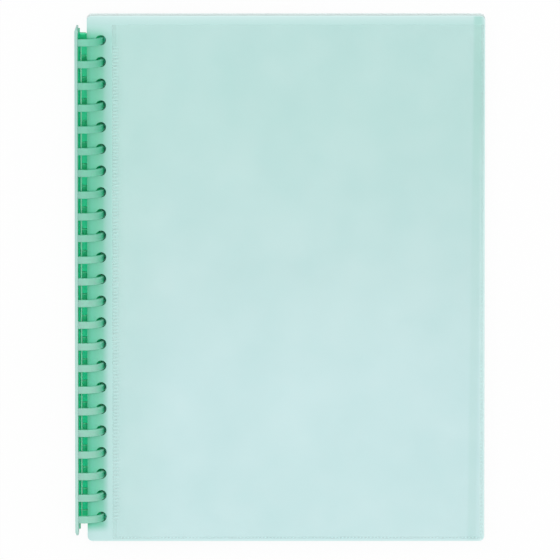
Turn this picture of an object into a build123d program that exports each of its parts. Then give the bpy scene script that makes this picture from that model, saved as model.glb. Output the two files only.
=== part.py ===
"""Clear pocket display book: two covers, twenty clear pockets and a two-part ring spine, lying closed."""

import os
from math import asin, cos, degrees, radians, sin, sqrt

from build123d import *

os.makedirs("parts", exist_ok=True)

# Driving dimensions, mm. The hole pitch is the scale cue.
hole_pitch = 12.7
hole_end_margin = 13.0
hole_diameter = 6.0
hole_inset = 8.0
cover_width = 229.0
cover_height = 308.0
cover_thickness = 0.8
cover_corner = 3.0

# Clear pockets
pocket_count = 20
pocket_setback = 3.0
pocket_end_inset = 3.0
pocket_corner = 2.0
film_thickness = 0.07
pocket_gap = 0.06
leaf_clearance = 0.08
seam_width = 1.2
seam_from_hole = 3.8
seam_end_gap = 0.01

# Front insert film on the front cover
insert_left = 14.4
insert_right = 0.8
insert_top = 5.3
insert_bottom = 1.4
insert_seam = 2.6
insert_edge_seam = 1.6

# Ring spine
ring_radius = 10.45
ring_thickness = 1.8
ring_root_width = 4.2
ring_tip_width = 4.0
ring_edge_round = 0.45
ring_drop = 0.4
hole_slack = 0.4
tip_lap = 1.2
tip_clearance = 0.2
plate_thickness = 1.8
plate_reach = 3.3
plate_lip = 0.4
flange_thickness = 1.6
flange_reach = 1.5
flange_corner = 2.0
rail_margin = 9.2
rail_rise = -0.2
back_rail_margin = 3.8
back_rail_drop = 1.6
rail_corner = 2.5
rail_edge_round = 0.4
rail_end_run = 2.2
rail_end_cut = 0.8

# Snap hinge between the two rails
bar_radius = 0.9
bar_clearance = 0.06
clip_wall = 0.75
clip_end_clearance = 0.3
clip_mouth = 100.0
plate_to_clip = 0.3
hinge_inset = 0.1
join_overlap = 0.1
lap_cut = 1.0

# Derived layout, measured from the ring centre line
hole_count = 1 + int((cover_height - 2 * hole_end_margin) / hole_pitch)
hole_row = (hole_count - 1) * hole_pitch
pocket_width = cover_width - pocket_setback
pocket_height = cover_height - 2 * pocket_end_inset
rail_length = hole_row + 2 * rail_margin
back_rail_length = hole_row + 2 * back_rail_margin
leaf_thickness = 2 * film_thickness + pocket_gap
leaf_pitch = leaf_thickness + leaf_clearance
stack_half = (pocket_count * leaf_pitch + leaf_clearance) / 2
cover_level = stack_half + cover_thickness / 2
hole_radius_of_turn = ring_radius - hole_slack
ring_outer = ring_radius + ring_thickness / 2
ring_inner = ring_radius - ring_thickness / 2
spine_front_half = ring_outer + plate_lip
spine_back_half = ring_outer + flange_thickness
spine_face = -(plate_reach + plate_thickness)
hinge_x = -plate_reach - hinge_inset
clip_radius = bar_radius + bar_clearance + clip_wall
plate_edge = clip_radius + plate_to_clip


def hole_reach(level):
    """Distance of a leaf's hole line from the ring centre line, in the leaf's own plane."""
    return sqrt(hole_radius_of_turn**2 - level**2)


def pocket_level(number):
    """Height of the middle of a pocket above the ring centre line; pocket 1 is the front one."""
    return (pocket_count / 2 - number + 0.5) * leaf_pitch


cover_left = hole_reach(cover_level) - hole_inset
cover_free = cover_left + cover_width
lie_angle = asin((spine_back_half - cover_level - cover_thickness / 2) / cover_free)
book_reach = cover_free * cos(lie_angle) + (cover_level + cover_thickness / 2) * sin(lie_angle)
axis_x = -(book_reach + spine_face) / 2
axis_z = spine_back_half
ring_y = [k * hole_pitch - hole_row / 2 - ring_drop for k in range(hole_count)]
rail_y = rail_rise - ring_drop


def leaf_plane(level):
    """Plane of the closed leaves at a height above the ring centre line; x runs from spine to free edge."""
    across = Vector(cos(lie_angle), 0, -sin(lie_angle))
    up = Vector(sin(lie_angle), 0, cos(lie_angle))
    return Plane(origin=Vector(axis_x, 0, axis_z) + up * level, x_dir=across, z_dir=up)


def spine_plane(y):
    """Upright plane across the spine: local x is X, local y is Z, the origin is on the ring centre line."""
    return Plane(origin=(axis_x, y, axis_z), x_dir=(1, 0, 0), z_dir=(0, -1, 0))


def punched_cover(level):
    """A cover sheet with rounded corners and its row of holes, centred on its level."""
    with BuildPart() as cover:
        with BuildSketch(leaf_plane(level - cover_thickness / 2)):
            with Locations((cover_left + cover_width / 2, 0)):
                RectangleRounded(cover_width, cover_height, cover_corner)
            with Locations((hole_reach(level), 0)):
                with GridLocations(0, hole_pitch, 1, hole_count):
                    Circle(hole_diameter / 2, mode=Mode.SUBTRACT)
        extrude(amount=cover_thickness)
    return cover


# Covers
front_cover = punched_cover(cover_level)
front_cover.part.label = "front_cover"
export_step(front_cover.part, "parts/front_cover.step")

back_cover = punched_cover(-cover_level)
back_cover.part.label = "back_cover"
export_step(back_cover.part, "parts/back_cover.step")

# Front insert film: a clear sheet over the front cover, welded on three sides and open at the top
insert_level = cover_level + cover_thickness / 2
insert_x0 = cover_left + insert_left
insert_x1 = cover_free - insert_right
insert_y0 = -cover_height / 2 + insert_bottom
insert_y1 = cover_height / 2 - insert_top
insert_mid_y = (insert_y0 + insert_y1) / 2
foot_x0 = insert_x0 + insert_seam + seam_end_gap
foot_x1 = insert_x1 - insert_edge_seam - seam_end_gap
with BuildPart() as front_insert_film:
    with BuildSketch(leaf_plane(insert_level + pocket_gap)):
        with Locations(((insert_x0 + insert_x1) / 2, insert_mid_y)):
            Rectangle(insert_x1 - insert_x0, insert_y1 - insert_y0)
    extrude(amount=film_thickness)
with BuildPart() as insert_seams:
    with BuildSketch(leaf_plane(insert_level)):
        with Locations((insert_x0 + insert_seam / 2, insert_mid_y)):
            Rectangle(insert_seam, insert_y1 - insert_y0)
        with Locations((insert_x1 - insert_edge_seam / 2, insert_mid_y)):
            Rectangle(insert_edge_seam, insert_y1 - insert_y0)
    extrude(amount=pocket_gap)
    with BuildSketch(leaf_plane(insert_level)):
        with Locations(((foot_x0 + foot_x1) / 2, insert_y0 + seam_width / 2)):
            Rectangle(foot_x1 - foot_x0, seam_width)
    extrude(amount=pocket_gap)
front_insert = Compound(children=[*front_insert_film.part.solids(), *insert_seams.part.solids()])
front_insert.label = "front_insert"
export_step(front_insert, "parts/front_insert.step")


def pocket_films(number):
    """One clear pocket: the punched back film, and the front film with its three weld seams below it."""
    middle = pocket_level(number)
    bottom = middle - leaf_thickness / 2
    hole_x = hole_reach(middle)
    x0 = hole_x - hole_inset
    x1 = x0 + pocket_width
    weld_x = hole_x + seam_from_hole
    half = pocket_height / 2
    with BuildPart() as back_film:
        with BuildSketch(leaf_plane(bottom)):
            with Locations(((x0 + x1) / 2, 0)):
                RectangleRounded(pocket_width, pocket_height, pocket_corner)
            with Locations((hole_x, 0)):
                with GridLocations(0, hole_pitch, 1, hole_count):
                    Circle(hole_diameter / 2, mode=Mode.SUBTRACT)
        extrude(amount=film_thickness)
    with BuildPart() as front_film:
        with BuildSketch(leaf_plane(bottom + film_thickness + pocket_gap)):
            with Locations(((weld_x + x1) / 2, 0)):
                Rectangle(x1 - weld_x, pocket_height - 2 * pocket_corner)
        extrude(amount=film_thickness)
    low = -half + pocket_corner
    with BuildPart() as seams:
        with BuildSketch(leaf_plane(bottom + film_thickness)):
            with Locations((weld_x + seam_width / 2, 0), (x1 - seam_width / 2, 0)):
                Rectangle(seam_width, pocket_height - 2 * pocket_corner)
            with Locations(((weld_x + x1) / 2, low + seam_width / 2)):
                Rectangle(x1 - weld_x - 2 * seam_width - 2 * seam_end_gap, seam_width)
        extrude(amount=pocket_gap)
    front = Compound(children=[*front_film.part.solids(), *seams.part.solids()])
    return back_film.part, front


# Clear pockets, numbered from the front
for number in range(1, pocket_count + 1):
    back_sheet, front_sheet = pocket_films(number)
    back_sheet.label = f"pocket_{number:02d}_back"
    export_step(back_sheet, f"parts/pocket_{number:02d}_back.step")
    front_sheet.label = f"pocket_{number:02d}_front"
    export_step(front_sheet, f"parts/pocket_{number:02d}_front.step")


def half_ring(side):
    """Master half ring on the plane y = 0: straight root, quarter arc and a lapped tip; side is 1 or -1."""
    lap_angle = degrees(tip_lap / ring_radius)
    gap_angle = degrees(tip_clearance / ring_radius)
    with BuildPart() as ring:
        with BuildSketch(spine_plane(0)):
            with BuildLine():
                Line((-plate_reach, side * ring_outer), (0, side * ring_outer))
                CenterArc((0, 0), ring_outer, side * 90, -side * 90)
                Line((ring_outer, 0), (ring_inner, 0))
                CenterArc((0, 0), ring_inner, 0, side * 90)
                Line((0, side * ring_inner), (-plate_reach, side * ring_inner))
                Line((-plate_reach, side * ring_inner), (-plate_reach, side * ring_outer))
            make_face()
        extrude(amount=ring_root_width / 2, both=True)
        # The tip of this half stops short on the other half's side and runs on past it on its own side.
        with BuildSketch(spine_plane(0)):
            with BuildLine():
                near = side * (lap_angle + gap_angle)
                CenterArc((0, 0), ring_outer + lap_cut, 0, near)
                Line((ring_outer + lap_cut) * Vector(cos(radians(near)), sin(radians(near))),
                     (ring_inner - lap_cut) * Vector(cos(radians(near)), sin(radians(near))))
                CenterArc((0, 0), ring_inner - lap_cut, near, -near)
                Line((ring_inner - lap_cut, 0), (ring_outer + lap_cut, 0))
            make_face()
        extrude(amount=side * ring_root_width, mode=Mode.SUBTRACT)
        with BuildSketch(spine_plane(side * tip_clearance / 2)):
            with BuildLine():
                far = -side * lap_angle
                CenterArc((0, 0), ring_outer, 0, far)
                Line(ring_outer * Vector(cos(radians(far)), sin(radians(far))),
                     ring_inner * Vector(cos(radians(far)), sin(radians(far))))
                CenterArc((0, 0), ring_inner, far, -far)
                Line((ring_inner, 0), (ring_outer, 0))
            make_face()
        extrude(amount=-side * ring_root_width / 2)
        # Seen from the front the ring narrows evenly from root to tip.
        with BuildSketch(Plane(origin=(axis_x, 0, 0), z_dir=(0, 0, 1))):
            with BuildLine():
                Polyline(
                    (-plate_reach, -ring_root_width / 2),
                    (ring_outer, -ring_tip_width / 2),
                    (ring_outer, ring_tip_width / 2),
                    (-plate_reach, ring_root_width / 2),
                    close=True,
                )
            make_face()
        extrude(amount=2 * axis_z, mode=Mode.INTERSECT)
        long_edges = [e for e in ring.edges() if e.geom_type != GeomType.LINE and e.length > ring_inner]
        fillet(long_edges, radius=ring_edge_round)
    return ring.part


def ring_row(side):
    """The half rings of one rail as separate solids, one at each hole."""
    master = half_ring(side)
    return Compound(children=[s.moved(Location((0, y, 0))) for y in ring_y for s in master.solids()])


front_rings = ring_row(1)
front_rings.label = "front_rings"
export_step(front_rings, "parts/front_rings.step")

back_rings = ring_row(-1)
back_rings.label = "back_rings"
export_step(back_rings, "parts/back_rings.step")


def rail_plate(side, length, middle, half):
    """Flat half of the spine from the hinge gap to its outer edge."""
    height = half - plate_edge
    face = Plane(origin=(axis_x + spine_face, middle, axis_z), x_dir=(0, 1, 0), z_dir=(1, 0, 0))
    with BuildPart() as plate:
        with BuildSketch(face):
            with Locations((0, side * (plate_edge + height / 2))):
                Rectangle(length, height)
        extrude(amount=plate_thickness)
    return plate.part


def eased_ends(length, middle, reach):
    """Block that keeps a rail's length and slants its ends towards the outer face of the spine."""
    with BuildPart() as keep:
        with BuildSketch(Plane(origin=(axis_x + spine_face, middle, 0), z_dir=(0, 0, 1))):
            with BuildLine():
                Polyline(
                    (0, length / 2 - rail_end_run),
                    (rail_end_cut, length / 2),
                    (reach, length / 2),
                    (reach, -length / 2),
                    (rail_end_cut, -length / 2),
                    (0, rail_end_run - length / 2),
                    close=True,
                )
            make_face()
        extrude(amount=2 * axis_z)
    return keep.part


# Front plate: rounded at its two outer corners and along its outer rim
with BuildPart() as front_plate:
    add(rail_plate(1, rail_length, rail_y, spine_front_half))
    front_top = axis_z + spine_front_half
    corners = [e for e in edges().filter_by(Axis.X) if e.center().Z > front_top - 0.01]
    fillet(corners, radius=rail_corner)
    add(eased_ends(rail_length, rail_y, plate_thickness), mode=Mode.INTERSECT)
    rim = [e for e in edges().filter_by(Axis.Y) if e.center().Z > front_top - 0.01]
    fillet(rim, radius=rail_edge_round)

# Back plate: a flange below the roots of the back rings closes the spine towards the back cover
back_y = sum(ring_y) / hole_count - back_rail_drop
flange_width = flange_reach - spine_face
with BuildPart() as back_plate:
    add(rail_plate(-1, back_rail_length, back_y, spine_back_half))
    with BuildSketch(Plane(origin=(axis_x + spine_face + flange_width / 2, back_y, 0), z_dir=(0, 0, 1))):
        Rectangle(flange_width, back_rail_length)
        fillet([v for v in vertices() if v.X > 0], radius=flange_corner)
    extrude(amount=flange_thickness)
    add(eased_ends(back_rail_length, back_y, flange_width), mode=Mode.INTERSECT)
    low = [e for e in edges().filter_by(Axis.Y) if e.center().Z < 0.01]
    fillet(low, radius=rail_edge_round)


# Front rail: plate, hinge bar and the tabs that carry the bar
tab_rows = ring_y[0::2]
clip_rows = ring_y[1::2]
with BuildPart() as front_rail:
    add(front_plate.part)
    for y in tab_rows:
        with Locations((axis_x + spine_face + plate_thickness / 2, y, axis_z + plate_edge / 2)):
            Box(plate_thickness, hole_pitch, plate_edge + join_overlap)
    # The outermost tabs run on to the ends of the bar
    bar_half = rail_length / 2 - rail_end_run
    for end, y in ((rail_y - bar_half, ring_y[0]), (rail_y + bar_half, ring_y[-1])):
        with Locations((axis_x + spine_face + plate_thickness / 2, (end + y) / 2, axis_z + plate_edge / 2)):
            Box(plate_thickness, abs(end - y), plate_edge + join_overlap)
    with Locations(Location((axis_x + hinge_x, rail_y, axis_z), (90, 0, 0))):
        Cylinder(bar_radius, 2 * bar_half)
front_rail.part.label = "front_rail"
export_step(front_rail.part, "parts/front_rail.step")

# Back rail: plate and the clips that snap on the bar
clip_length = hole_pitch - 2 * clip_end_clearance
with BuildPart() as back_rail:
    add(back_plate.part)
    for y in clip_rows:
        with BuildSketch(spine_plane(y)):
            with Locations((hinge_x, 0)):
                Circle(clip_radius)
            with Locations((spine_face + plate_thickness / 2, -(plate_edge + join_overlap) / 2)):
                Rectangle(plate_thickness, plate_edge + join_overlap)
            with Locations((hinge_x, 0)):
                Circle(bar_radius + bar_clearance, mode=Mode.SUBTRACT)
            with BuildLine():
                reach = 2 * clip_radius
                mouth = radians(clip_mouth / 2)
                Polyline(
                    (hinge_x, 0),
                    (hinge_x + reach * sin(mouth), reach * cos(mouth)),
                    (hinge_x - reach * sin(mouth), reach * cos(mouth)),
                    close=True,
                )
            make_face(mode=Mode.SUBTRACT)
        extrude(amount=clip_length / 2, both=True)
back_rail.part.label = "back_rail"
export_step(back_rail.part, "parts/back_rail.step")
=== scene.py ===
from math import asin, cos, radians, sin, sqrt

import bmesh
import bpy
from mathutils import Matrix, Vector


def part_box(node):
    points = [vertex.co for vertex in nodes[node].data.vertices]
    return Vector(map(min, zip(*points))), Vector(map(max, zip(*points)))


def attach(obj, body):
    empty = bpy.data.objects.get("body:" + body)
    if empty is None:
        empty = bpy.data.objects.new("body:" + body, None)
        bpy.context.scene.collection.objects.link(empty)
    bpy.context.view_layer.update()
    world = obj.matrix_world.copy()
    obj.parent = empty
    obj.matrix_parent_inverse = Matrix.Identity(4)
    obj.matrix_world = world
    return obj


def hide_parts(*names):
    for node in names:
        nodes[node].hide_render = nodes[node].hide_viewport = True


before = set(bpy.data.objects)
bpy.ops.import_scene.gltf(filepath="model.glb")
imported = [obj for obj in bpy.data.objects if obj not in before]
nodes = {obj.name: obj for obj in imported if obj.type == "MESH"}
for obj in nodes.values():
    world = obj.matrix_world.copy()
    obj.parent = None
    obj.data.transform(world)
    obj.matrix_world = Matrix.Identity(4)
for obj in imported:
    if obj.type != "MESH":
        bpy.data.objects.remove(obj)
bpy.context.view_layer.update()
scene = bpy.context.scene

# Sizes of the book in millimetres
MM = 0.001
COVER_WIDTH, COVER_HEIGHT, COVER_THICKNESS = 229.0, 308.0, 0.8
COVER_LEVEL = 3.24
HOLE_INSET = 8.0
TURN_RADIUS = 10.05
INSERT_MARGIN, INSERT_FOOT_MARGIN = 14.4, 1.4
FILM_THICKNESS, FILM_GAP = 0.07, 0.06
POCKET_COUNT = 20
POCKET_WIDTH, POCKET_HEIGHT, POCKET_CORNER = 226.0, 302.0, 2.0
LEAF_PITCH = 0.28
SEAM_START, SEAM_WIDTH = 3.8, 1.2
SPINE_FACE, SPINE_HALF = 5.1, 12.95
LIFT = 0.006

# Layout of the closed book in millimetres; u runs from the ring centre line to the free edge
COVER_LEFT = sqrt(TURN_RADIUS ** 2 - COVER_LEVEL ** 2) - HOLE_INSET
COVER_FREE = COVER_LEFT + COVER_WIDTH
COVER_FACE = COVER_LEVEL + COVER_THICKNESS / 2
INSERT_LEFT = COVER_LEFT + INSERT_MARGIN
INSERT_FOOT = INSERT_FOOT_MARGIN - COVER_HEIGHT / 2
FILM_TOP = COVER_FACE + FILM_GAP + FILM_THICKNESS
LEAF_HALF = FILM_GAP / 2 + FILM_THICKNESS

# The stack slopes down from the spine until the back cover's free edge lies on the floor
LIE = asin((SPINE_HALF - COVER_FACE) / COVER_FREE)
ACROSS = Vector((cos(LIE), 0, -sin(LIE)))
UP = Vector((sin(LIE), 0, cos(LIE)))
REACH = COVER_FREE * cos(LIE) + COVER_FACE * sin(LIE)
AXIS = Vector(((SPINE_FACE - REACH) / 2 * MM, 0, SPINE_HALF * MM))

# Sizes in metres that the materials use
HALF_HEIGHT = COVER_HEIGHT / 2 * MM
CROWN = 11.35 * MM
RIM = 11.75 * MM
RING_PITCH = 12.7 * MM
RING_OFFSET = 0.4 * MM


def leaf_point(u, y, level):
    """A point of the closed stack, from millimetres."""
    return AXIS + ACROSS * (u * MM) + UP * (level * MM) + Vector((0, y * MM, 0))


# Materials
def lin(r, g, b):
    """Linear colour of an 8-bit display colour."""
    out = []
    for c in (r, g, b):
        c = c / 255
        out.append(c / 12.92 if c <= 0.04045 else ((c + 0.055) / 1.055) ** 2.4)
    return (*out, 1.0)


class Nodes:
    """One material, built up in small steps."""

    def __init__(self, name):
        self.mat = bpy.data.materials.new(name)
        self.mat.use_nodes = True
        self.tree = self.mat.node_tree
        self.bsdf = next(n for n in self.tree.nodes if n.type == "BSDF_PRINCIPLED")
        coords = self.tree.nodes.new("ShaderNodeTexCoord")
        self.point = coords.outputs["Object"]
        split = self.tree.nodes.new("ShaderNodeSeparateXYZ")
        self.link(self.point, split.inputs[0])
        self.x, self.y, self.z = split.outputs

    def link(self, a, b):
        self.tree.links.new(a, b)

    def put(self, socket, value):
        if hasattr(value, "is_linked"):
            self.link(value, socket)
        else:
            socket.default_value = value

    def math(self, op, a, b=0.0):
        n = self.tree.nodes.new("ShaderNodeMath")
        n.operation = op
        self.put(n.inputs[0], a)
        self.put(n.inputs[1], b)
        return n.outputs[0]

    def span(self, value, a, b, lo=0.0, hi=1.0, smooth=True):
        n = self.tree.nodes.new("ShaderNodeMapRange")
        n.interpolation_type = "SMOOTHSTEP" if smooth else "LINEAR"
        n.clamp = True
        self.put(n.inputs["Value"], value)
        n.inputs["From Min"].default_value = a
        n.inputs["From Max"].default_value = b
        n.inputs["To Min"].default_value = lo
        n.inputs["To Max"].default_value = hi
        return n.outputs["Result"]

    def ramp(self, value, stops):
        n = self.tree.nodes.new("ShaderNodeValToRGB")
        points = n.color_ramp.elements
        while len(points) < len(stops):
            points.new(0.5)
        for p, (at, colour) in zip(points, stops):
            p.position = at
            p.color = colour
        self.put(n.inputs[0], value)
        return n.outputs[0]

    def mix(self, factor, a, b, mode="MIX"):
        n = self.tree.nodes.new("ShaderNodeMix")
        n.data_type = "RGBA"
        n.blend_type = mode
        self.put(n.inputs[0], factor)
        self.put(n.inputs[6], a)
        self.put(n.inputs[7], b)
        return n.outputs[2]

    def noise(self, scale, detail=3.0, rough=0.5, stretch=None):
        n = self.tree.nodes.new("ShaderNodeTexNoise")
        n.inputs["Scale"].default_value = scale
        n.inputs["Detail"].default_value = detail
        n.inputs["Roughness"].default_value = rough
        if stretch:
            m = self.tree.nodes.new("ShaderNodeMapping")
            m.inputs["Scale"].default_value = stretch
            self.link(self.point, m.inputs["Vector"])
            self.link(m.outputs[0], n.inputs["Vector"])
        else:
            self.link(self.point, n.inputs["Vector"])
        return n.outputs["Fac"]

    def bump(self, height, strength, distance):
        n = self.tree.nodes.new("ShaderNodeBump")
        n.inputs["Strength"].default_value = strength
        n.inputs["Distance"].default_value = distance
        self.link(height, n.inputs["Height"])
        self.link(n.outputs[0], self.bsdf.inputs["Normal"])

    def pass_light(self, share, colour):
        """Let a share of the light through the surface, spread and coloured."""
        out = next(n for n in self.tree.nodes if n.type == "OUTPUT_MATERIAL")
        spread = self.tree.nodes.new("ShaderNodeBsdfTranslucent")
        spread.inputs["Color"].default_value = colour
        blend = self.tree.nodes.new("ShaderNodeMixShader")
        self.put(blend.inputs[0], share)
        self.link(self.bsdf.outputs[0], blend.inputs[1])
        self.link(spread.outputs[0], blend.inputs[2])
        self.link(blend.outputs[0], out.inputs["Surface"])

    def finish(self, colour, rough, alpha=1.0, ior=1.45):
        self.put(self.bsdf.inputs["Base Color"], colour)
        self.put(self.bsdf.inputs["Roughness"], rough)
        self.bsdf.inputs["Alpha"].default_value = alpha
        self.bsdf.inputs["IOR"].default_value = ior
        return self.mat


def grey(v):
    return (v, v, v, 1.0)


def cover_material():
    """Green sheet, drawn opaque: what shows through the real, translucent one is drawn as colour, with
    painted shade by the spine and painted light on the cut edges.
    """
    m = Nodes("cover_sheet")
    head_band, margin = 5.5 * MM, 22.0 * MM
    d = m.math("SUBTRACT", m.x, AXIS.x + COVER_LEFT * MM)
    free = m.math("SUBTRACT", AXIS.x + COVER_FREE * MM, m.x)
    body = m.ramp(m.span(m.y, -HALF_HEIGHT, HALF_HEIGHT, smooth=False), [
        (0.0, lin(204, 235, 236)), (0.3, lin(203, 233, 234)), (0.5, lin(196, 228, 227)),
        (0.8, lin(185, 223, 219)), (0.97, lin(182, 221, 217))])
    cloud = m.noise(22.0, 4.0, 0.55)
    body = m.mix(1.0, body, m.ramp(cloud, [(0.3, grey(0.995)), (0.7, grey(1.0))]), "MULTIPLY")
    # Painted shade: a little darker and greener towards the spine, over the shaded hollow of the rings
    body = m.mix(m.span(d, 0.055, 0.020, 0.0, 0.30), body, lin(180, 222, 214))
    # Bare band above the insert film, paler to the head, and the faint darker band by the free edge
    head = m.math("SUBTRACT", HALF_HEIGHT, m.y)
    bare = m.ramp(m.math("DIVIDE", head, head_band), [
        (0.0, lin(200, 229, 228)), (0.44, lin(191, 225, 222)), (1.0, lin(182, 220, 216))])
    body = m.mix(m.span(head, 0.0056, 0.0050), body, bare)
    centre = m.math("ADD", m.math("MULTIPLY", m.y, -0.0104), 0.0056)
    off = m.math("ABSOLUTE", m.math("SUBTRACT", free, centre))
    band = m.math("MULTIPLY", m.span(off, 0.0034, 0.0014), m.span(m.y, 0.03, 0.13, 0.22, 1.0))
    body = m.mix(band, body, lin(168, 215, 207))
    # Painted shade and green in the margin: darker and greener where the spine and the shaded ring tunnel
    # show through the real sheet
    spine_green_and_shade = m.ramp(m.math("DIVIDE", d, margin), [
        (0.02, (0.194, 0.72, 0.458, 1)), (0.127, (0.316, 0.816, 0.611, 1)), (0.28, (0.369, 0.82, 0.603, 1)),
        (0.41, (0.434, 0.81, 0.641, 1)), (0.48, (0.628, 0.846, 0.756, 1)), (0.58, (0.755, 0.895, 0.856, 1)),
        (0.65, (0.81, 0.95, 0.91, 1)), (0.74, (0.86, 0.96, 0.93, 1)), (0.82, (0.95, 0.985, 0.97, 1)),
        (1.0, (1, 1, 1, 1))])
    along = m.math("MULTIPLY", m.span(m.y, 0.1485, 0.1395), m.span(m.y, -0.1495, -0.1435))
    fade = m.math("MULTIPLY", m.span(d, 0.0105, 0.0130, 0.0, 0.7), m.span(m.y, 0.03, -0.11))
    along = m.math("MULTIPLY", along, m.math("SUBTRACT", 1.0, fade))
    body = m.mix(along, body, m.mix(1.0, body, spine_green_and_shade, "MULTIPLY"))
    # The welded edge of the film looks a little paler
    welded = m.math("MULTIPLY", m.span(free, 0.0032, 0.0024, 0.0, 0.5), m.span(m.y, 0.10, 0.02))
    body = m.mix(welded, body, lin(220, 246, 244))
    # Cut edges look frosted and carry painted light, most of all inside, where the two covers face each
    # other in shade and are painted much paler
    foot = m.math("ADD", HALF_HEIGHT, m.y)
    from_edge = m.math("MINIMUM", free, m.math("MINIMUM", head, foot))
    rim = m.span(from_edge, 0.0009, 0.0003)
    body = m.mix(m.math("MULTIPLY", rim, 0.7), body, lin(212, 238, 235))
    rise = m.math("MULTIPLY", m.math("SUBTRACT", m.x, AXIS.x), sin(LIE))
    level = m.math("ADD", rise, m.math("MULTIPLY", m.math("SUBTRACT", m.z, AXIS.z), cos(LIE)))
    painted_light_inside = m.span(m.math("ABSOLUTE", level), (COVER_LEVEL - 0.1) * MM, (COVER_LEVEL - 0.3) * MM)
    edge = m.span(from_edge, 0.0030, 0.0018)
    body = m.mix(m.math("MULTIPLY", painted_light_inside, edge), body, lin(240, 251, 250))
    fine = m.noise(2600.0, 2.0, 0.6)
    rough = m.math("ADD", m.math("MULTIPLY", fine, 0.10), m.math("MULTIPLY", cloud, 0.06))
    m.bump(fine, 0.10, 0.00012)
    return m.finish(body, m.math("ADD", rough, 0.26))


def insert_material():
    """Clear front film: nearly colourless, with long shallow ripples."""
    m = Nodes("insert_film")
    colour = m.ramp(m.noise(40.0, 3.0), [(0.3, lin(206, 232, 229)), (0.7, lin(240, 249, 247))])
    ripple = m.noise(9.0, 3.0, 0.6, stretch=(1.0, 0.35, 1.0))
    m.bump(ripple, 0.12, 0.004)
    return m.finish(colour, m.math("ADD", m.math("MULTIPLY", ripple, 0.12), 0.08), alpha=0.07, ior=1.46)


def pocket_material():
    """Clear pocket film: nearly colourless, painted green along the punched margin for the green light that
    comes through the rings.
    """
    m = Nodes("pocket_film")
    cloud = m.noise(14.0, 0.0)
    clear = m.mix(cloud, lin(228, 242, 239), lin(240, 249, 247))
    d = m.math("SUBTRACT", m.x, AXIS.x)
    # Painted light: green along the punched margin, standing in for light passing through the green rings
    colour = m.mix(m.span(d, 0.022, 0.012), clear, lin(50, 205, 147))
    return m.finish(colour, m.math("ADD", m.math("MULTIPLY", cloud, 0.12), 0.08), alpha=0.045, ior=1.46)


def spine_material(name, share):
    """Moulded spine that lets a share of the light through, with painted light and shade: pale outside,
    deep green in the shaded tunnel.
    """
    m = Nodes(name)
    x = m.math("SUBTRACT", m.x, AXIS.x)
    z = m.math("SUBTRACT", m.z, AXIS.z)
    # Painted shade: towards the tunnel the plastic is drawn deep green, and only the outer face keeps its
    # paler colour
    painted_lit_outside = m.span(x, -0.0037, -0.0048)
    upper = m.span(z, 0.0, 0.002)
    face = m.ramp(m.noise(55.0, 4.0), [(0.3, lin(126, 205, 178)), (0.7, lin(138, 211, 187))])
    colour = m.mix(painted_lit_outside, lin(4, 226, 160), face)
    # Painted light: the front edge of the plate and the upper parts of both ends are drawn pale, paler
    # towards the foot
    ends = m.span(m.math("ABSOLUTE", m.y), 0.1432, 0.1440)
    pale = m.math("MAXIMUM", m.math("MULTIPLY", ends, upper), m.span(z, RIM - 0.0009, RIM - 0.0002))
    painted_lit_edge = m.mix(m.span(m.y, -0.10, 0.12), lin(190, 234, 223), lin(168, 220, 208))
    colour = m.mix(pale, colour, painted_lit_edge)
    fine = m.noise(2200.0, 2.0, 0.6)
    m.bump(fine, 0.08, 0.0001)
    m.bsdf.inputs["Transmission Weight"].default_value = share
    return m.finish(colour, m.math("ADD", m.math("MULTIPLY", fine, 0.12), 0.34), ior=1.49)


def ring_material(name, share, pale):
    """Moulded rings, with painted light and shade: pale on the lit crown and with painted highlights along
    the edges, greener down towards the tips and inside, as in shade.
    """
    m = Nodes(name)
    x = m.math("MAXIMUM", m.math("SUBTRACT", m.x, AXIS.x), 0.0)
    z = m.math("SUBTRACT", m.z, AXIS.z)
    r = m.math("SQRT", m.math("ADD", m.math("MULTIPLY", z, z), m.math("MULTIPLY", x, x)))
    # Painted light and shade: pale on the lit crown, deep green lower down where the ring lies in shade
    crown = m.ramp(m.math("DIVIDE", m.math("ABSOLUTE", z), CROWN), [
        (0.0, lin(40, 224, 156)), (0.35, lin(112, 232, 190)), (0.55, lin(156, 236, 212)),
        (0.85, lin(198, 242, 234)), (1.0, lin(200, 242, 235))])
    # Distance from the middle of the nearest ring, along the row, counted from well beyond its end
    count = m.math("ADD", m.math("DIVIDE", m.math("ADD", m.y, RING_OFFSET), RING_PITCH), 50.5)
    part = m.math("ABSOLUTE", m.math("SUBTRACT", m.math("FRACT", count), 0.5))
    side = m.math("MULTIPLY", part, RING_PITCH)
    # Painted highlights along both side edges of each ring
    crown = m.mix(m.span(side, 0.0010, 0.0016, 0.0, 0.6), crown, lin(196, 240, 230))
    # Darker and greener towards the head
    crown = m.mix(m.span(m.y, -0.06, 0.10), crown, m.mix(1.0, crown, (0.60, 0.89, 0.79, 1), "MULTIPLY"))
    # Painted shade: the inner face is drawn deep green
    inside = m.math("MULTIPLY", m.span(r, CROWN - 0.0005, CROWN - 0.0014), m.span(side, 0.0016, 0.0012))
    colour = m.mix(inside, crown, lin(4, 206, 134))
    # Painted shade: the lower the share given, the more of the ring takes the deep green of the shaded
    # tunnel; the back rings get most of it
    colour = m.mix(pale, lin(8, 252, 176), colour)
    cloud = m.noise(180.0, 3.0)
    colour = m.mix(1.0, colour, m.ramp(cloud, [(0.3, grey(0.96)), (0.7, grey(1.0))]), "MULTIPLY")
    fine = m.noise(2400.0, 2.0, 0.6)
    m.bump(fine, 0.07, 0.0001)
    m.pass_light(share, (0.22, 0.97, 0.76, 1))
    return m.finish(colour, m.math("ADD", m.math("MULTIPLY", cloud, 0.14), 0.26), ior=1.49)


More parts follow.
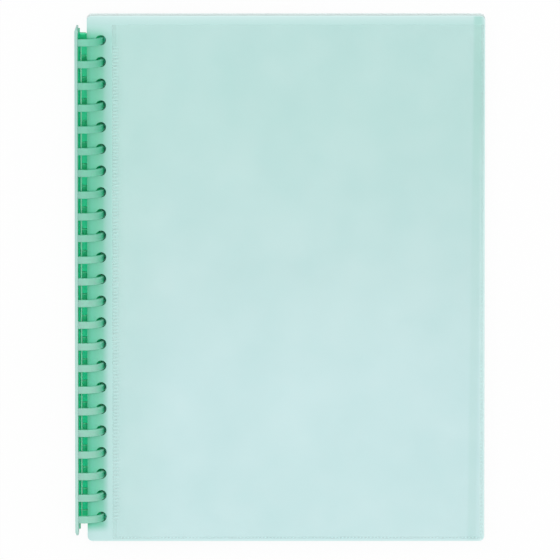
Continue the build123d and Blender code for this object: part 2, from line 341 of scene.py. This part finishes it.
def rib_material():
    """The pale rib along the hinge, its paleness a painted highlight, with uneven thickness showing as
    uneven green.
    """
    m = Nodes("hinge_rib_plastic")
    cloud = m.noise(120.0, 3.0)
    m.bump(m.noise(2200.0, 2.0), 0.08, 0.0001)
    rough = m.math("ADD", m.math("MULTIPLY", cloud, 0.14), 0.26)
    return m.finish(m.ramp(cloud, [(0.3, lin(150, 232, 200)), (0.7, lin(160, 236, 206))]), rough, ior=1.49)


def weld_material(name, foot, head, alpha=1.0):
    """Melted film: slightly cloudy, with an uneven surface, in step with the cover from foot to head."""
    m = Nodes(name)
    cloud = m.noise(900.0, 3.0)
    m.bump(cloud, 0.15, 0.0001)
    rough = m.math("ADD", m.math("MULTIPLY", cloud, 0.25), 0.25)
    colour = m.mix(m.span(m.y, -0.12, 0.12), foot, head)
    colour = m.mix(1.0, colour, m.ramp(cloud, [(0.3, grey(0.98)), (0.7, grey(1.0))]), "MULTIPLY")
    return m.finish(colour, rough, alpha=alpha)


COVER = cover_material()
FILM = pocket_material()
INSERT = insert_material()
SPINE_FRONT = spine_material("spine_front_plastic", 0.15)
SPINE_BACK = spine_material("spine_back_plastic", 0.7)
RING_FRONT = ring_material("ring_front_plastic", 0.45, 1.0)
RING_BACK = ring_material("ring_back_plastic", 0.1, 0.2)
RIB = rib_material()
WELD = weld_material("insert_weld", lin(192, 227, 225), lin(179, 221, 215))
WELD_DOT = weld_material("insert_weld_dots", lin(198, 230, 228), lin(172, 216, 208))
WELD_FOOT = weld_material("insert_weld_foot", lin(200, 232, 231), lin(200, 232, 231))
# Pale film edges: partly frosted film, partly painted light that lifts the shade between the leaves
FILM_EDGE = weld_material("film_edge", lin(206, 234, 228), lin(222, 242, 238), 0.5)
POCKET_WELD = weld_material("pocket_weld", lin(214, 236, 232), lin(230, 244, 241), 0.45)

KINDS = {"front_cover": COVER, "back_cover": COVER, "front_insert": INSERT, "front_rail": SPINE_FRONT,
         "back_rail": SPINE_BACK, "front_rings": RING_FRONT, "back_rings": RING_BACK}
for name, obj in nodes.items():
    kind = KINDS.get(name, FILM)
    obj.data.materials.clear()
    obj.data.materials.append(kind)
    # The clear film of the pockets casts next to no shadow, so none is drawn
    obj.visible_shadow = kind is not FILM

# The cut edges of the covers are slightly rounded
for name in ("front_cover", "back_cover"):
    bevel = nodes[name].modifiers.new("edge", "BEVEL")
    bevel.width = 0.12 * MM
    bevel.segments = 3
    bevel.limit_method = "ANGLE"
    bevel.angle_limit = radians(50)


# Front film
def insert_sheet():
    """The front film as a piece of its own, with its welds just short of the cover's face."""
    mesh = nodes["front_insert"].data.copy()
    for v in mesh.vertices:
        low = (COVER_FACE + LIFT) * MM - (v.co - AXIS).dot(UP)
        if low > 0:
            v.co += UP * low
    obj = bpy.data.objects.new("insert_sheet", mesh)
    scene.collection.objects.link(obj)
    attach(obj, "front_cover")
    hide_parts("front_insert")


insert_sheet()


# Rib along the hinge
def hinge_rib():
    """A thin rounded rib that the hinge clips carry along the inner side of the tunnel."""
    sides, steps = 8, 24
    radius, inset = 0.45 * MM, 4.0 * MM
    x, z = AXIS.x - 1.80 * MM, AXIS.z + 0.95 * MM
    low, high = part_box("back_rail")
    y0, y1 = low.y + inset, high.y - inset
    bm = bmesh.new()
    loops = []
    for k in range(steps + 1):
        t = k / steps
        # The rib narrows at its two ends
        r = radius * min(1.0, 0.45 + 40 * min(t, 1 - t))
        y = y0 + (y1 - y0) * t
        turns = [radians(360 * j / sides) for j in range(sides)]
        loops.append([bm.verts.new((x + r * cos(a), y, z + r * sin(a))) for a in turns])
    for a, b in zip(loops, loops[1:]):
        for j in range(sides):
            bm.faces.new((a[j], a[(j + 1) % sides], b[(j + 1) % sides], b[j]))
    bm.faces.new(loops[0])
    bm.faces.new(list(reversed(loops[-1])))
    bmesh.ops.recalc_face_normals(bm, faces=bm.faces)
    mesh = bpy.data.meshes.new("hinge_rib")
    bm.to_mesh(mesh)
    bm.free()
    mesh.shade_smooth()
    obj = bpy.data.objects.new("hinge_rib", mesh)
    scene.collection.objects.link(obj)
    obj.data.materials.append(RIB)
    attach(obj, "spine_back")


hinge_rib()


# Cut edges of the pockets
def outline(u0, u1, y0, y1, corner, inset, steps_per_corner=4):
    """Points round a rectangle with rounded corners, moved in by inset."""
    points = []
    r = corner - inset
    centres = [(u1 - corner, y1 - corner, 0), (u0 + corner, y1 - corner, 90),
               (u0 + corner, y0 + corner, 180), (u1 - corner, y0 + corner, 270)]
    for cu, cy, start in centres:
        for k in range(steps_per_corner + 1):
            a = radians(start + 90 * k / steps_per_corner)
            points.append((cu + r * cos(a), cy + r * sin(a)))
    return points


def edge_piece(name, body, rim, width, level, half):
    """A narrow pale border along the cut edge of a leaf, just thicker than the leaf: frosted film, and
    partly painted light on the shaded stack ends.
    """
    bm = bmesh.new()
    loops = []
    for inset, height in ((0.0, half), (0.0, -half), (width, -half), (width, half)):
        loops.append([bm.verts.new(leaf_point(u, y, level + height)) for u, y in outline(*rim, inset)])
    n = len(loops[0])
    for a, b in zip(loops, loops[1:] + loops[:1]):
        for k in range(n):
            bm.faces.new((a[k], b[k], b[(k + 1) % n], a[(k + 1) % n]))
    bmesh.ops.recalc_face_normals(bm, faces=bm.faces)
    mesh = bpy.data.meshes.new(name)
    bm.to_mesh(mesh)
    bm.free()
    obj = bpy.data.objects.new(name, mesh)
    scene.collection.objects.link(obj)
    obj.data.materials.append(FILM_EDGE)
    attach(obj, body)


# Weld marks
def add_mark(bm, u, y, level, length, width, height, points=5):
    """One raised weld mark with rounded ends and sloping sides: length along u, width along y."""
    ring, rim = [], []
    r = width / 2
    reach = max(length / 2 - r, 0)
    for side in (1, -1):
        for k in range(points):
            turn = radians(180 * k / (points - 1) - 90 * side)
            ring.append((u + side * reach + r * cos(turn), y + r * sin(turn)))
    low = [bm.verts.new(leaf_point(a, b, level)) for a, b in ring]
    # The top is smaller than the foot all round
    for a, b in ring:
        inward = 0.22 * (a - u) if length <= width else 0.22 * r * (1 if a > u else -1)
        rim.append((a - inward, y + (b - y) * 0.7))
    top = [bm.verts.new(leaf_point(a, b, level + height)) for a, b in rim]
    n = len(ring)
    for k in range(n):
        bm.faces.new((low[k], low[(k + 1) % n], top[(k + 1) % n], top[k]))
    bm.faces.new(top)
    bm.faces.new(list(reversed(low)))


def marks_piece(name, body, material, rows, height, points=5):
    """One piece with a weld mark for each row: place along u and y, level, length and width."""
    bm = bmesh.new()
    for u, y, level, length, width in rows:
        add_mark(bm, u, y, level, length, width, height, points)
    mesh = bpy.data.meshes.new(name)
    bm.to_mesh(mesh)
    bm.free()
    obj = bpy.data.objects.new(name, mesh)
    scene.collection.objects.link(obj)
    obj.data.materials.append(material)
    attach(obj, body)


def steps(a, b, pitch):
    """Places a pitch apart, centred between a and b."""
    count = int((b - a) / pitch)
    return [a + (b - a - count * pitch) / 2 + pitch * k for k in range(count + 1)]


# Length and width of one mark, and the heights of the marks
LEFT_MARK, RIGHT_MARK = (3.4, 1.15), (0.75, 0.75)
FOOT_MARK, POCKET_MARK = (1.0, 0.6), (1.0, 0.7)
MARK_HEIGHT, FOOT_MARK_HEIGHT = 0.03, 0.05
INSERT_MARK_LEVEL = FILM_TOP + LIFT

# Short bars down the left of the front film, dots down its right and small bars along its foot
left_u, right_u, foot_y = INSERT_LEFT + 2.1, COVER_FREE - 2.0, INSERT_FOOT + 0.62
left_marks = [(left_u, y, INSERT_MARK_LEVEL, *LEFT_MARK) for y in steps(-141.5, 136.5, 2.03)]
right_marks = [(right_u, y, INSERT_MARK_LEVEL, *RIGHT_MARK) for y in steps(-150.0, 134.0, 2.14)]
foot_places = steps(INSERT_LEFT + 4.4, COVER_FREE - 4.0, 2.03)
foot_marks = [(u, foot_y, INSERT_MARK_LEVEL, *FOOT_MARK) for u in foot_places]
marks_piece("insert_weld_left", "front_cover", WELD, left_marks, MARK_HEIGHT)
marks_piece("insert_weld_right", "front_cover", WELD_DOT, right_marks, MARK_HEIGHT)
marks_piece("insert_weld_foot", "front_cover", WELD_FOOT, foot_marks, FOOT_MARK_HEIGHT, 3)

# Every pocket has a row of marks along both side seams, and a border that stands just proud of its edge
SEAM_END, SEAM_PITCH = 147.0, 3.0
EDGE_PROUD, EDGE_WIDTH, EDGE_HALF = 0.02, 0.5, 0.105
for number in range(1, POCKET_COUNT + 1):
    level = ((POCKET_COUNT + 1) / 2 - number) * LEAF_PITCH
    hole = sqrt(TURN_RADIUS ** 2 - level ** 2)
    near = hole - HOLE_INSET
    free = near + POCKET_WIDTH
    top = level + LEAF_HALF + LIFT
    pocket = "pocket_%02d" % number
    rows = []
    for u in (hole + SEAM_START + SEAM_WIDTH / 2, free - SEAM_WIDTH / 2):
        rows += [(u, y, top, *POCKET_MARK) for y in steps(-SEAM_END, SEAM_END, SEAM_PITCH)]
    marks_piece(pocket + "_weld", pocket, POCKET_WELD, rows, MARK_HEIGHT, 3)
    end = POCKET_HEIGHT / 2 + EDGE_PROUD
    rim = (near - EDGE_PROUD, free + EDGE_PROUD, -end, end, POCKET_CORNER)
    edge_piece(pocket + "_edge", pocket, rim, EDGE_WIDTH, level, EDGE_HALF)

# Floor, light and camera
FLOOR_REACH, FLOOR_DROP = 12.0, 0.0003
SHADE_DROP, SHADE_SHARE = 0.0002, 0.985
OWN_TONE = 0.93


def floor_material(name, colour, shown):
    """Matt paper that keeps the book's shadow, and shows mostly its own plain tone to the camera."""
    mat = bpy.data.materials.new(name)
    mat.use_nodes = True
    tree = mat.node_tree
    tree.nodes.clear()
    out = tree.nodes.new("ShaderNodeOutputMaterial")
    matte = tree.nodes.new("ShaderNodeBsdfDiffuse")
    matte.inputs["Color"].default_value = colour
    glow = tree.nodes.new("ShaderNodeEmission")
    glow.inputs["Color"].default_value = shown
    glow.inputs["Strength"].default_value = 1.0
    blend = tree.nodes.new("ShaderNodeMixShader")
    path = tree.nodes.new("ShaderNodeLightPath")
    direct = tree.nodes.new("ShaderNodeMath")
    direct.operation = "MAXIMUM"
    seen = tree.nodes.new("ShaderNodeMath")
    seen.operation = "MAXIMUM"
    share = tree.nodes.new("ShaderNodeMath")
    share.operation = "MULTIPLY"
    share.inputs[1].default_value = OWN_TONE
    tree.links.new(path.outputs["Is Camera Ray"], direct.inputs[0])
    tree.links.new(path.outputs["Is Glossy Ray"], direct.inputs[1])
    tree.links.new(direct.outputs[0], seen.inputs[0])
    tree.links.new(path.outputs["Is Transmission Ray"], seen.inputs[1])
    tree.links.new(seen.outputs[0], share.inputs[0])
    tree.links.new(share.outputs[0], blend.inputs[0])
    tree.links.new(matte.outputs[0], blend.inputs[1])
    tree.links.new(glow.outputs[0], blend.inputs[2])
    tree.links.new(blend.outputs[0], out.inputs["Surface"])
    return mat


floor_mesh = bpy.data.meshes.new("floor")
bm = bmesh.new()
bmesh.ops.create_grid(bm, x_segments=1, y_segments=1, size=FLOOR_REACH)
bm.to_mesh(floor_mesh)
bm.free()
floor = bpy.data.objects.new("floor", floor_mesh)
floor.location.z = -FLOOR_DROP
scene.collection.objects.link(floor)
floor.data.materials.append(floor_material("floor_paper", (0.92, 0.92, 0.92, 1), (1, 1, 1, 1)))

# Painted shade: a darker sheet on the floor under the back cover, with painted green light where light
# comes through the punched margin
shade_mesh = bpy.data.meshes.new("floor_shade")
low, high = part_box("back_cover")
bm = bmesh.new()
corners = [(low.x, low.y), (high.x, low.y), (high.x, high.y), (low.x, high.y)]
bm.faces.new([bm.verts.new((x * SHADE_SHARE, y * SHADE_SHARE, -SHADE_DROP)) for x, y in corners])
bm.to_mesh(shade_mesh)
bm.free()
shade = bpy.data.objects.new("floor_shade", shade_mesh)
scene.collection.objects.link(shade)
m = Nodes("floor_shade_paper")
painted_green_light = m.span(m.x, AXIS.x + 0.022, AXIS.x + 0.016)
shade_colour = m.mix(painted_green_light, (0.42, 0.56, 0.52, 1), (0.14, 0.97, 0.72, 1))
shade.data.materials.append(m.finish(shade_colour, 0.8))

world = bpy.data.worlds.new("studio")
world.use_nodes = True
scene.world = world
tree = world.node_tree
sky = next(n for n in tree.nodes if n.type == "BACKGROUND")
sky.inputs["Color"].default_value = (1, 1, 1, 1)
path = tree.nodes.new("ShaderNodeLightPath")
# The world is white to the camera, and gives a lower, even light
WORLD_LIGHT, WORLD_SHOWN = 0.60, 1.0
strength = tree.nodes.new("ShaderNodeMapRange")
strength.inputs["To Min"].default_value = WORLD_LIGHT
strength.inputs["To Max"].default_value = WORLD_SHOWN
tree.links.new(path.outputs["Is Camera Ray"], strength.inputs["Value"])
tree.links.new(strength.outputs[0], sky.inputs["Strength"])


def soft_lamp(name, place, size, power):
    """A round soft light that points at the middle of the book."""
    data = bpy.data.lights.new(name, "AREA")
    data.shape = "DISK"
    data.size = size
    data.energy = power
    lamp = bpy.data.objects.new(name, data)
    lamp.location = place
    lamp.rotation_euler = (Vector((0, 0, 0)) - Vector(place)).to_track_quat("-Z", "Y").to_euler()
    scene.collection.objects.link(lamp)


soft_lamp("key", (0.06, 0.36, 2.0), 0.6, 14.5)
soft_lamp("fill", (-1.2, 0.9, 1.6), 1.2, 5.0)

scene.view_settings.view_transform = "Standard"
scene.cycles.transparent_max_bounces = 160

# The camera looks down, from a little towards the head of the book
TILT, TURN, DISTANCE = radians(10.7), radians(2.2), 11.5
SENSOR, PICTURE_WIDTH = 36.0, 0.3224
target = Vector((0.0002, 0.0007, 0.0190))
back = Vector((sin(TURN) * cos(TILT), sin(TILT), cos(TURN) * cos(TILT)))
ahead = -back
sideways = ahead.cross(Vector((0, 1, 0))).normalized()
upward = sideways.cross(ahead)
camera_data = bpy.data.cameras.new("camera")
camera_data.sensor_width = SENSOR
camera_data.lens = SENSOR * DISTANCE / PICTURE_WIDTH
camera_data.clip_end = 50.0
camera = bpy.data.objects.new("camera", camera_data)
turned = Matrix((sideways, upward, back)).transposed().to_4x4()
camera.matrix_world = Matrix.Translation(target + back * DISTANCE) @ turned
scene.collection.objects.link(camera)
scene.camera = camera
